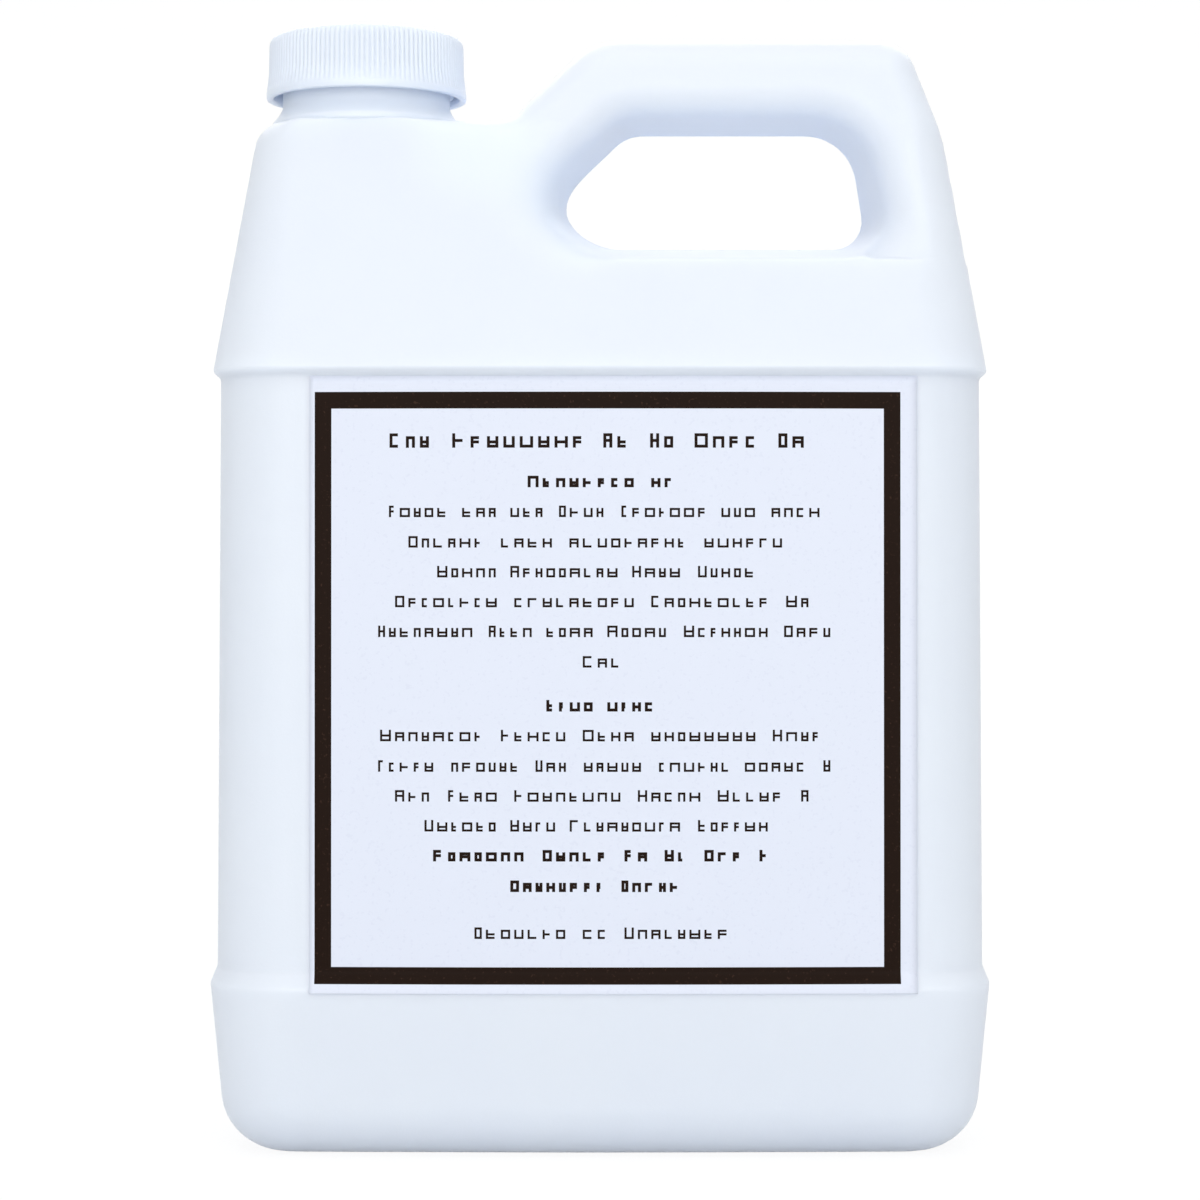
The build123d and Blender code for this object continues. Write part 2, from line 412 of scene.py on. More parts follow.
def grid_lines(low: float, high: float, step: float, fine: Sequence[tuple[float, float, float]]) -> Array:
    """Space grid lines along one axis, closer together in some stretches.

    Args:
        low: the first line.
        high: the last line reaches at least this far.
        step: spacing outside the fine stretches.
        fine: start, end and spacing of each fine stretch, in order.

    Returns:
        The lines' places.
    """
    lines = [low]
    while lines[-1] < high:
        here = lines[-1]
        pace = next((s for a, b, s in fine if a - 1e-6 <= here < b - 1e-6), step)
        ahead = [a for a, _, _ in fine if here + 1e-6 < a < here + pace]
        lines.append(min([here + pace, *ahead]))
    return np.array(lines)


@dataclass(frozen=True)
class Outline:
    """A closed line in a plane, as a run of points."""

    points: Array

    @classmethod
    def rounded(cls, corners: Sequence[tuple[float, float, float]], facets: int = 9) -> "Outline":
        """Make an outline from corners, each with its own radius.

        Args:
            corners: first coordinate, second coordinate and radius of each corner, in order.
            facets: points along each round corner.

        Returns:
            The outline.
        """
        points: list[Array] = []
        for i, (u, v, radius) in enumerate(corners):
            here = np.array((u, v))
            if radius <= 0:
                points.append(here)
                continue
            before = np.array(corners[i - 1][:2]) - here
            after = np.array(corners[(i + 1) % len(corners)][:2]) - here
            before /= np.linalg.norm(before)
            after /= np.linalg.norm(after)
            half = math.acos(float(np.clip(before @ after, -1, 1))) / 2
            middle = here + (before + after) / np.linalg.norm(before + after) * radius / math.sin(half)
            first = here + before * radius / math.tan(half) - middle
            last = here + after * radius / math.tan(half) - middle
            start = math.atan2(first[1], first[0])
            sweep = (math.atan2(last[1], last[0]) - start + math.pi) % (2 * math.pi) - math.pi
            for turn in np.linspace(start, start + sweep, facets):
                points.append(middle + radius * np.array((math.cos(turn), math.sin(turn))))
        return cls(np.array(points))

    def distance(self, u: Array, v: Array) -> Array:
        """Measure points against the outline.

        Args:
            u: first coordinates.
            v: second coordinates.

        Returns:
            Distance to the line, negative inside it.
        """
        u, v = np.broadcast_arrays(u, v)
        nearest = np.full(u.shape, np.inf)
        inside = np.zeros(u.shape, bool)
        for (au, av), (bu, bv) in zip(self.points, np.roll(self.points, -1, axis=0)):
            eu, ev = bu - au, bv - av
            du, dv = u - au, v - av
            along = np.clip((du * eu + dv * ev) / max(eu * eu + ev * ev, 1e-12), 0, 1)
            nearest = np.minimum(nearest, (du - along * eu) ** 2 + (dv - along * ev) ** 2)
            if ev != 0:
                crosses = (av > v) != (bv > v)
                inside ^= crosses & (u < au + dv / ev * eu)
        return np.where(inside, -1, 1) * np.sqrt(nearest)


# ---------------------------------------------------------------- mesh helpers


def to_object(name: str, vertices: Array, faces: Sequence | Array, origin: Vector) -> bpy.types.Object:
    """Make a smooth-shaded mesh object from points in millimetres.

    Args:
        name: the object's name.
        vertices: points in millimetres from the jug's own origin.
        faces: vertex numbers of each face.
        origin: where the jug's own origin is in the frame, in metres.

    Returns:
        The new object, linked to the scene.
    """
    mesh = bpy.data.meshes.new(name)
    places = vertices * MM + np.array(origin)
    mesh.from_pydata(places.tolist(), [], faces.tolist() if isinstance(faces, np.ndarray) else faces)
    mesh.polygons.foreach_set("use_smooth", np.ones(len(mesh.polygons), bool))
    mesh.update()
    made = bpy.data.objects.new(name, mesh)
    bpy.context.scene.collection.objects.link(made)
    return made


def combine(base: bpy.types.Object, other: bpy.types.Object, operation: str) -> None:
    """Join or cut one closed mesh by another, and drop the other.

    Args:
        base: the mesh that is changed.
        other: the mesh that is added or cut away.
        operation: UNION or DIFFERENCE.
    """
    cut = base.modifiers.new("combine", "BOOLEAN")
    cut.operation = operation
    cut.solver = "MANIFOLD"
    cut.object = other
    graph = bpy.context.evaluated_depsgraph_get()
    mesh = bpy.data.meshes.new_from_object(base.evaluated_get(graph))
    base.modifiers.clear()
    old = base.data
    base.data = mesh
    mesh.name = old.name
    mesh.materials.clear()     # the solver leaves an empty slot, which the faces would keep
    bpy.data.meshes.remove(old)
    bpy.data.objects.remove(other)
    mesh.polygons.foreach_set("use_smooth", np.ones(len(mesh.polygons), bool))
    log.info("%s after %s: %d faces", base.name, operation.lower(), len(mesh.polygons))


def drop_loose(piece: bpy.types.Object) -> None:
    """Remove the points of a mesh that no face uses."""
    mesh = bmesh.new()
    mesh.from_mesh(piece.data)
    loose = [vertex for vertex in mesh.verts if not vertex.link_faces]
    bmesh.ops.delete(mesh, geom=loose, context="VERTS")
    mesh.to_mesh(piece.data)
    mesh.free()


def surface_net(xs: Array, ys: Array, zs: Array, values: Array) -> tuple[Array, Array]:
    """Mesh the zero surface of a field that is sampled on a grid.

    Args:
        xs: grid lines along X.
        ys: grid lines along Y.
        zs: grid lines along Z.
        values: the field at each grid point, negative inside.

    Returns:
        Vertices, and quads that face outwards.
    """
    lines = (xs, ys, zs)
    cells = tuple(n - 1 for n in values.shape)
    total = np.zeros((*cells, 3))
    count = np.zeros(cells)
    crossings = []
    for axis in range(3):
        a = values[tuple(slice(0, -1) if k == axis else slice(None) for k in range(3))]
        b = values[tuple(slice(1, None) if k == axis else slice(None) for k in range(3))]
        at = np.argwhere((a < 0) != (b < 0))
        va, vb = a[tuple(at.T)], b[tuple(at.T)]
        place = np.stack([lines[k][at[:, k]] for k in range(3)], axis=1)
        gap = lines[axis][at[:, axis] + 1] - lines[axis][at[:, axis]]
        place[:, axis] += va / (va - vb) * gap
        others = [k for k in range(3) if k != axis]
        around = []
        for du, dv in ((-1, -1), (0, -1), (0, 0), (-1, 0)):
            cell = at.copy()
            cell[:, others[0]] += du
            cell[:, others[1]] += dv
            np.add.at(total, tuple(cell.T), place)
            np.add.at(count, tuple(cell.T), 1)
            around.append(cell)
        crossings.append((axis, around, va < 0))
    number = np.full(cells, -1)
    used = count > 0
    number[used] = np.arange(used.sum())
    vertices = total[used] / count[used][:, None]
    quads = []
    for axis, around, outward in crossings:
        ring = np.stack([number[tuple(cell.T)] for cell in around], axis=1)
        flip = outward if axis == 1 else ~outward
        ring[flip] = ring[flip][:, ::-1]
        quads.append(ring)
    return vertices, np.concatenate(quads)


def settle(vertices: Array, form: Callable[[Array, Array, Array], Array], level: float, steps: int) -> Array:
    """Move vertices onto a level surface of a form, along its slope.

    Args:
        vertices: points near the surface.
        form: the field.
        level: the field's value on the wanted surface.
        steps: how often to move them.

    Returns:
        The moved points.
    """
    reach = 0.04
    for _ in range(steps):
        x, y, z = vertices.T
        value = form(x, y, z) - level
        slope = np.stack(
            [
                form(x + reach, y, z) - form(x - reach, y, z),
                form(x, y + reach, z) - form(x, y - reach, z),
                form(x, y, z + reach) - form(x, y, z - reach),
            ],
            axis=1,
        ) / (2 * reach)
        size = np.maximum((slope**2).sum(axis=1), 0.25)
        vertices = vertices - slope * (np.clip(value, -0.6, 0.6) / size)[:, None]
    return vertices


def soften(vertices: Array, quads: Array, weight: Array, rounds: int) -> Array:
    """Even out part of a mesh by moving its vertices towards their neighbours.

    Args:
        vertices: the mesh's points.
        quads: its faces.
        weight: how much each vertex moves, from 0 to 1.
        rounds: how often.

    Returns:
        The moved points.
    """
    a = quads.reshape(-1)
    b = np.roll(quads, -1, axis=1).reshape(-1)
    near = weight[a] > 0
    a, b = a[near], b[near]
    degree = np.maximum(np.bincount(a, minlength=len(vertices)), 1)
    for _ in range(rounds):
        mean = np.stack(
            [np.bincount(a, vertices[b, k], len(vertices)) / degree for k in range(3)], axis=1
        )
        vertices = vertices + weight[:, None] * 0.6 * (mean - vertices)
    return vertices


def lathe(rows: Sequence[tuple[float, float]], columns: int, axis_x: float) -> tuple[Array, list[tuple]]:
    """Turn a closed profile about an upright axis.

    Args:
        rows: radius and height of each point of the profile, from one end on the axis to the other.
        columns: facets round the axis.
        axis_x: where the axis stands along X.

    Returns:
        Vertices and faces of the closed form.
    """
    turns = np.arange(columns) * 2 * math.pi / columns
    vertices = [(axis_x, 0.0, rows[0][1])]
    for radius, z in rows[1:-1]:
        for turn in turns:
            vertices.append((axis_x + radius * math.cos(turn), radius * math.sin(turn), z))
    vertices.append((axis_x, 0.0, rows[-1][1]))
    return np.array(vertices), lathe_faces(len(rows) - 2, columns)


def lathe_faces(rings: int, columns: int) -> list[tuple]:
    """List the faces of a closed turned form: a pole, rings of vertices, and a pole.

    Args:
        rings: how many rings lie between the poles.
        columns: vertices in each ring.

    Returns:
        The faces, facing outwards where the profile runs upwards on the outside.
    """
    faces: list[tuple] = []
    last = rings * columns + 1
    for k in range(columns):
        after = (k + 1) % columns
        faces.append((0, 1 + after, 1 + k))
        for i in range(rings - 1):
            low = 1 + i * columns
            high = low + columns
            faces.append((low + k, low + after, high + after, high + k))
        top = 1 + (rings - 1) * columns
        faces.append((top + k, top + after, last))
    return faces


@dataclass(frozen=True)
class ThreadRidge:
    """A ridge that winds round a wall: a trapezoid that tapers away at both ends. Millimetres and turns."""

    root_radius: float
    depth: float               # negative for a ridge inside a bore
    start_z: float
    start_turn: float
    base: float = 2.2
    crest: float = 1.0
    sink: float = 0.3
    pitch: float = 4.233
    turns: float = 1.1

    def mesh(self, axis_x: float) -> tuple[Array, list[tuple]]:
        """Make the ridge's closed mesh.

        Args:
            axis_x: where the thread's axis stands along X.

        Returns:
            Vertices and faces.
        """
        steps = 150
        side = math.copysign(1.0, self.depth)
        vertices = []
        for i in range(steps + 1):
            share = i / steps
            grow = math.sin(math.pi / 2 * min(1.0, 14 * share, 14 * (1 - share)) ** 0.8)
            reach = abs(self.depth) * (0.05 + 0.95 * grow)
            turn = 2 * math.pi * (self.start_turn + self.turns * share)
            middle = self.start_z + self.pitch * self.turns * share
            section = [
                (-self.sink, -self.base / 2),
                (0.0, -self.base / 2),
                (reach - 0.15, -self.crest / 2 - 0.08),
                (reach, -self.crest / 2 + 0.12),
                (reach, self.crest / 2 - 0.12),
                (reach - 0.15, self.crest / 2 + 0.08),
                (0.0, self.base / 2),
                (-self.sink, self.base / 2),
            ]
            for out, up in section:
                radius = self.root_radius + side * out
                vertices.append(
                    (axis_x + radius * math.cos(turn), radius * math.sin(turn), middle + up)
                )
        size = len(section)
        faces: list[tuple] = []
        for i in range(steps):
            for k in range(size):
                a, b = i * size + k, i * size + (k + 1) % size
                quad = (a, b, b + size, a + size)
                faces.append(quad if side < 0 else quad[::-1])
        first = tuple(range(size))
        last = tuple(steps * size + k for k in range(size))
        faces.append(first[::-1] if side < 0 else first)
        faces.append(last if side < 0 else last[::-1])
        return np.array(vertices), faces


# ---------------------------------------------------------------- the jug's outside form


@dataclass(frozen=True)
class JugSizes:
    """The jug's sizes in millimetres, from the floor up."""

    half_width: float = 63.9
    half_depth: float = 28.6
    foot_lean: float = 0.5
    ledge_step: float = 1.1
    lip_step: float = 1.2
    base_draft: float = 2.5
    ledge_crest: float = 28.3
    ledge_top: float = 31.1
    panel_top: float = 129.4
    lip: float = 130.5
    platform: float = 173.6
    handle_top: float = 188.2
    land: float = 187.2
    crown: float = 1.6
    top_crown: float = 0.6
    side_crown: float = 0.5
    corner: float = 12.0
    top_corner: float = 7.0
    heel: float = 9.0
    ring: float = 12.0         # base left round the hollow under it
    side_lean: float = math.tan(math.radians(9.0))
    neck_x: float = -40.4
    neck_radius: float = 14.4
    neck_foot: float = 16.2
    bore: float = 12.4
    wall: float = 1.2
    handle_gap: float = 0.5    # handle's faces inside those of the shoulder
    handle_round: float = 6.0
    grip_height: float = 15.5
    column: float = 14.8
    arm_foot: float = -15.6
    arm_width: float = 14.9
    hole_floor: float = 152.8
    apex_rise: float = 6.6
    apex_slant: float = math.tan(math.radians(38.0))
    hole_draft: float = math.tan(math.radians(9.0))
    sill_run: float = 11.0     # from the column to where the hole's sill starts to fall away
    sill_end: float = 1.0      # from the column to where it has fallen to the crease
    sill_round: float = 5.0
    end_drop: float = 17.3     # handle's top down to where its end starts to lean more
    end_lean: float = math.tan(math.radians(19.3))
    seam_rise: float = 0.14    # parting line of the two mould halves
    seam_width: float = 0.45

    @property
    def lip_half_width(self) -> float:
        """Middle of the jug to its side at the lip."""
        return self.half_width + self.lip_step

    @property
    def lip_half_depth(self) -> float:
        """Middle of the jug to its face at the lip."""
        return self.half_depth + self.lip_step

    @property
    def face_lean(self) -> float:
        """How far each face leans in per millimetre of height, so as to meet the neck's foot."""
        return (self.lip_half_depth - self.neck_foot) / (self.platform - self.lip)

    @property
    def crease(self) -> float:
        """Height at which the finger hole's drafted floor runs out through the faces."""
        depth = self.lip_half_depth - self.face_lean * (self.hole_floor - self.lip)
        return self.hole_floor - self.hole_draft * depth / (1 - self.face_lean * self.hole_draft)

    def end_x(self, z: float) -> float:
        """Where the handle's outer end stands at a height."""
        return self.lip_half_width - self.side_lean * (z - self.lip) - self.handle_gap

    def hole_corners(self) -> list[tuple[float, float]]:
        """The finger hole's corners on the mid-plane: along its floor, up the column and back."""
        grip = self.handle_top - self.grip_height
        slant = math.sqrt(0.5)
        arm_x, arm_z = self.arm_foot + self.arm_width * slant, self.platform - self.arm_width * slant
        apex_x = arm_x + self.hole_floor + self.apex_rise - arm_z
        return [
            (apex_x + self.apex_rise / self.apex_slant, self.hole_floor),
            (self.end_x(self.hole_floor) - self.column, self.hole_floor),
            (self.end_x(grip) - self.column, grip),
            (arm_x + grip - arm_z, grip),
            (apex_x, self.hole_floor + self.apex_rise),
        ]


class JugForm:
    """The jug's outside as a field of distances: negative inside, zero on the surface."""

    def __init__(self, sizes: JugSizes) -> None:
        """Work out the jug's level outlines and front-view outlines.

        Args:
            sizes: the jug's sizes.
        """
        self.sizes = s = sizes
        rise = s.handle_top - s.lip
        heights = [-20, s.ledge_crest, s.ledge_top, s.panel_top, s.lip, s.handle_top + 10]
        foot = s.foot_lean + s.ledge_step
        slope = s.base_draft / s.ledge_crest
        outs = [foot - slope * (s.ledge_crest + 20), foot, s.foot_lean, 0.0, s.lip_step]
        self.levels = np.arange(-15, s.handle_top + 9, 0.05)
        kernel = np.ones(15) / 15

        def profile(middle: float, lean: float) -> Array:
            values = [middle + out for out in outs]
            values.append(middle + s.lip_step - lean * (rise + 10))
            raw = np.interp(np.arange(-18, s.handle_top + 12, 0.05), heights, values)
            raw = np.convolve(raw, kernel, "same")
            return np.interp(self.levels, np.arange(-18, s.handle_top + 12, 0.05), raw)

        self.widths = profile(s.half_width, s.side_lean)
        self.depths = profile(s.half_depth, s.face_lean)
        corners = s.hole_corners()
        rounds = (7.0, 5.0, 9.0, 7.0, 4.0)
        self.hole = Outline.rounded([(x, z, r) for (x, z), r in zip(corners, rounds)])
        bend = s.handle_top - s.end_drop
        root_x, root_z = s.arm_foot - 8.0, s.lip + 8.0
        self.loop = Outline.rounded(
            [
                (root_x, root_z, 0),
                (s.end_x(root_z), root_z, 0),
                (s.end_x(bend), bend, 30),
                (s.end_x(bend) - s.end_drop * s.end_lean, s.handle_top, 6.5),
                (s.arm_foot + s.handle_top - s.platform, s.handle_top, 10.5),
                (root_x, s.platform - 8.0, 0),
            ]
        )
        far = 200.0
        into = s.hole_floor + 0.8
        column_x = corners[1][0]
        self.roof = Outline.rounded(
            [
                (-far, -far, 0),
                (-far, s.platform, 0),
                (s.arm_foot, s.platform, 3),
                (corners[4][0] + s.apex_rise / 2, corners[4][1], 3),
                (corners[0][0] + 4.0, into, 3),
                (column_x - s.sill_run, into, s.sill_round),
                (column_x - s.sill_end, s.crease, 0),
                (far, s.crease, 0),
                (far, -far, 0),
            ]
        )

    def face(self, x: Array, y: Array, z: Array) -> Array:
        """Distance outside the jug's front and back faces."""
        s = self.sizes
        up = np.clip((z - s.lip) / (s.handle_top - s.lip), 0, 1)
        crown = s.crown + (s.top_crown - s.crown) * up
        across = np.clip(x / np.interp(z, self.levels, self.widths), -1, 1)
        return np.abs(y) - np.interp(z, self.levels, self.depths) + crown * across**2

    def plan(self, x: Array, y: Array, z: Array) -> Array:
        """Distance outside the jug's upright walls."""
        s = self.sizes
        up = np.clip((z - s.lip) / (s.handle_top - s.lip), 0, 1)
        corner = s.corner + (s.top_corner - s.corner) * up
        along = np.clip(y / np.interp(z, self.levels, self.depths), -1, 1)
        side = np.abs(x) - np.interp(z, self.levels, self.widths) + s.side_crown * along**2
        return round_meet(side, self.face(x, y, z), corner)

    def body(self, x: Array, y: Array, z: Array) -> Array:
        """Distance outside the jug without its neck."""
        s = self.sizes
        plan = self.plan(x, y, z)
        loop = self.loop.distance(x, z)
        hole = self.hole.distance(x, z) - s.hole_draft * np.abs(y)
        rim = np.interp(x, [-57, -53, -51, -30, -26, -20, -12, -2, 3], [4, 3, 0.3, 0.3, 1.2, 3, 7, 5, 0.4])
        core = round_meet(plan, self.roof.distance(x, z), rim)
        core = round_meet(core, -hole, np.interp(x, [-8, 3], [6.0, 0.5]))
        ring = round_meet(loop, -hole, 0.5)
        handle = round_meet(ring, self.face(x, y, z) + s.handle_gap, s.handle_round)
        body = np.minimum(core, np.maximum(handle, plan))
        body = round_meet(body, -z, s.heel)
        inside = s.foot_lean + s.ledge_step - s.base_draft - s.ring
        hollow = round_meet(np.abs(x) - s.half_width - inside, np.abs(y) - s.half_depth - inside, 9.0)
        hollow = round_meet((hollow + z) / math.sqrt(2), z - 3.0, 1.5)
        body = round_meet(body, -hollow, 1.2)
        seam = np.clip(1 - np.abs(y) / s.seam_width, 0, 1)
        return body - s.seam_rise * seam

    def cavity(self, x: Array, y: Array, z: Array) -> Array:
        """Distance outside the jug's inside, which runs out through its mouth."""
        s = self.sizes
        thick = s.wall + 1.5 * self.valley(x, z)
        radius = np.hypot(x - s.neck_x, y)
        bore = np.maximum(radius - s.bore, 165.0 - z)
        return np.minimum(self.body(x, y, z) + thick, bore)

    def valley(self, x: Array, z: Array) -> Array:
        """How far a point belongs to the soft valley between the shoulder and the slanted arm, 0 to 1."""
        along = np.clip((x + 20.0) / 14.0, 0, 1)
        off = np.hypot(x + 20.0 - 14.0 * along, z - 170.5 + 12.0 * along)
        return np.clip(1.6 - off / 8.0, 0, 1)


# ---------------------------------------------------------------- the pieces


@dataclass
class BlownBottle:
    """The blow-moulded bottle with its handle, neck, thread and hollow inside."""

    form: JugForm
    origin: Vector
    step: float = 1.4
    inner_step: float = 2.6
    neck_columns: int = 192

    def build(self) -> bpy.types.Object:
        """Build the bottle and put it on its body.

        Returns:
            The bottle's object.
        """
        s = self.form.sizes
        half_x, half_y = s.half_width + 4, s.half_depth + 4
        xs = grid_lines(-half_x, half_x, self.step, [])
        seam = [(-0.75, 0.75, 0.25)]
        ys = grid_lines(-half_y, half_y, self.step, seam)
        creases = [
            (-1.0, 1.0, 0.5),
            (26.9, 31.7, 0.4),
            (128.8, 131.4, 0.26),
            (s.crease - 0.6, s.crease + 0.8, 0.28),
            (172.6, 174.2, 0.4),
        ]
        zs = grid_lines(-4.0, s.handle_top + 3, self.step, creases)
        vertices, quads = self.mesh_of(self.form.body, xs, ys, zs)
        weight = self.form.valley(vertices[:, 0], vertices[:, 2])
        vertices = soften(vertices, quads, weight, 30)
        lowest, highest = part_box("bottle")
        low = (np.array(lowest) - np.array(self.origin)) / MM
        high = (np.array(highest) - np.array(self.origin)) / MM
        vertices = np.clip(vertices, low, high)
        bottle = to_object("blown_bottle", vertices, quads, self.origin)
        log.info("bottle outside: %d quads", len(quads))
        combine(bottle, self.neck(), "UNION")
        combine(bottle, self.thread(), "UNION")
        inner = self.inner_step
        xs = grid_lines(-half_x, half_x, inner, [])
        ys = grid_lines(-half_y, half_y, inner, [])
        zs = grid_lines(-4.0, s.land + 2, inner, [])
        vertices, quads = self.mesh_of(self.form.cavity, xs, ys, zs)
        combine(bottle, to_object("bottle_cavity", vertices, quads, self.origin), "DIFFERENCE")
        bottle.data.materials.append(Finish.BLOWN_HDPE.build())
        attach(bottle, "bottle")
        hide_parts("bottle")
        return bottle

    def mesh_of(
        self, form: Callable[[Array, Array, Array], Array], xs: Array, ys: Array, zs: Array
    ) -> tuple[Array, Array]:
        """Mesh a form's surface between grid lines.

        Args:
            form: the field.
            xs: grid lines along X.
            ys: grid lines along Y.
            zs: grid lines along Z.

        Returns:
            Vertices and quads.
        """
        values = form(xs[:, None, None], ys[None, :, None], zs[None, None, :])
        values = np.broadcast_to(values, (len(xs), len(ys), len(zs))).copy()
        values[:, :, -1] = np.maximum(values[:, :, -1], 0.1)
        vertices, quads = surface_net(xs, ys, zs, values)
        fixed = vertices[:, 2] > zs[-2]
        settled = settle(vertices, form, 0.0, 3)
        settled[fixed] = vertices[fixed]
        return settled, quads

    def neck(self) -> bpy.types.Object:
        """Turn the neck with its spread foot and sealing land."""
        s = self.form.sizes
        rows = [(0.0, s.platform - 8), (s.neck_foot - 1.6, s.platform - 8)]
        rows += [(s.neck_foot - 0.9, s.platform - 0.5), (s.neck_foot - 0.05, s.platform - 0.1)]
        rows.append((s.neck_foot, s.platform + 0.1))
        rows += [(s.neck_foot - 0.05, s.platform + 0.8)]
        for i in range(1, 8):
            share = i / 8
            blend = (1 - share) ** 1.6
            radius = s.neck_radius + (s.neck_foot - s.neck_radius) * blend
            rows.append((radius, s.platform + 0.8 + 3.0 * share))
        rows.append((s.neck_radius, s.platform + 3.9))
        rows += [(s.neck_radius, s.platform + 3.9 + i * 1.6) for i in range(1, 6)]
        for i in range(5):
            turn = math.pi / 2 * i / 4
            rows.append((s.neck_radius - 0.4 + 0.4 * math.cos(turn), s.land - 0.4 + 0.4 * math.sin(turn)))
        rows.append((0.0, s.land))
        vertices, faces = lathe(rows, self.neck_columns, s.neck_x)
        return to_object("neck", vertices, faces, self.origin)

    def thread(self) -> bpy.types.Object:
        """Wind the neck's screw thread."""
        s = self.form.sizes
        ridge = ThreadRidge(s.neck_radius, 1.2, s.land - 2.6 - 1.1 * 4.233, 0.0)
        vertices, faces = ridge.mesh(s.neck_x)
        return to_object("neck_thread", vertices, faces, self.origin)


@dataclass
class RibbedCap:
    """The injection-moulded screw cap: fine upright ribs over a plain band, threaded inside."""

    sizes: JugSizes
    origin: Vector
    ribs: int = 120
    rib_columns: int = 8
    radius: float = 17.25
    bore: float = 15.95
    height: float = 10.8
    end_wall: float = 1.2
    rib_depth: float = 0.38
    band: float = 1.3
    draft: float = 0.35
    top_round: float = 1.7

    def build(self) -> bpy.types.Object:
        """Build the cap and put it on its body.

        Returns:
            The cap's object.
        """
        foot = self.sizes.land + 2.2 - self.height
        rows = self.profile(foot)
        columns = self.ribs * self.rib_columns
        vertices, faces = lathe([(r, z) for r, z, _ in rows], columns, self.sizes.neck_x)
        wave = np.arange(columns) / self.rib_columns
        valley = 1 - np.abs(np.sin(math.pi * wave)) ** 0.8
        for i, (_, _, depth) in enumerate(rows[1:-1]):
            if depth <= 0:
                continue
            ring = slice(1 + i * columns, 1 + (i + 1) * columns)
            out = vertices[ring, :2] - (self.sizes.neck_x, 0)
            out *= (1 - depth * valley / np.hypot(*out.T))[:, None]
            vertices[ring, :2] = out + (self.sizes.neck_x, 0)
        cap = to_object("screw_cap", vertices, faces, self.origin)
        start = self.sizes.land - 2.6 - 1.1 * 4.233 + 4.233 * (0.56 - 0.5)
        ridge = ThreadRidge(self.bore, -0.9, start, 0.56)
        points, sides = ridge.mesh(self.sizes.neck_x)
        combine(cap, to_object("cap_thread", points, sides, self.origin), "UNION")
        cap.data.materials.append(Finish.MOULDED_PP.build())
        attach(cap, "cap")
        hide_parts("cap")
        return cap

    def profile(self, foot: float) -> list[tuple[float, float, float]]:
        """List the cap's profile from inside its end wall, down its bore and up its outside.

        Args:
            foot: height of the cap's rim.

        Returns:
            Radius, height and rib depth at each row.
        """
        top = foot + self.height
        roof = top - self.end_wall
        r, depth = self.radius, self.rib_depth
        rows = [(0.0, roof, 0.0), (6.0, roof, 0.0)]
        rows += [(self.bore - 0.3, roof, 0.0), (self.bore, roof - 0.3, 0.0)]
        rows += [(self.bore, foot + z, 0.0) for z in (7.0, 4.5, 2.2, 0.4)]
        rows += [(self.bore + 0.25, foot, 0.0), (r - 0.25, foot, 0.0), (r - 0.07, foot + 0.07, 0.0)]
        shelf = foot + self.band
        rows += [(r, foot + 0.25, 0.0), (r, shelf - 0.15, 0.0), (r - 0.06, shelf + 0.05, depth * 0.2)]
        rows += [(r - 0.16, shelf + 0.9, depth * 0.6), (r - 0.28, shelf + 1.9, depth * 0.85)]
        rows += [(r - 0.40, shelf + 2.9, depth), (r - 0.42, shelf + 3.3, depth)]
        side_top = top - self.top_round
        edge = r - self.draft - 0.15
        rows += [(edge + 0.04, (shelf + 3.3 + side_top) / 2, depth), (edge, side_top, depth)]
        for i, share in enumerate((0.2, 0.4, 0.6, 0.8, 1.0)):
            turn = math.pi / 2 * share
            radius = edge - self.top_round * (1 - math.cos(turn))
            height = side_top + self.top_round * math.sin(turn)
            rows.append((radius, height, depth * (0.8, 0.45, 0.15, 0, 0)[i]))
        rows += [(edge - self.top_round - 0.6, top, 0.0), (9.0, top, 0.0), (2.2, top, 0.0)]
        rows += [(1.7, top - 0.18, 0.0), (0.9, top - 0.2, 0.0), (0.6, top - 0.1, 0.0), (0.0, top - 0.1, 0.0)]
        return rows


@dataclass
class FoamLiner:
    """The pressed foam disc that seals the mouth; its own shape is kept."""

    node: bpy.types.Object

    def dress(self) -> None:
        """Give the disc its foam."""
        self.node.data.materials.clear()
        self.node.data.materials.append(Finish.PRESSED_FOAM.build())


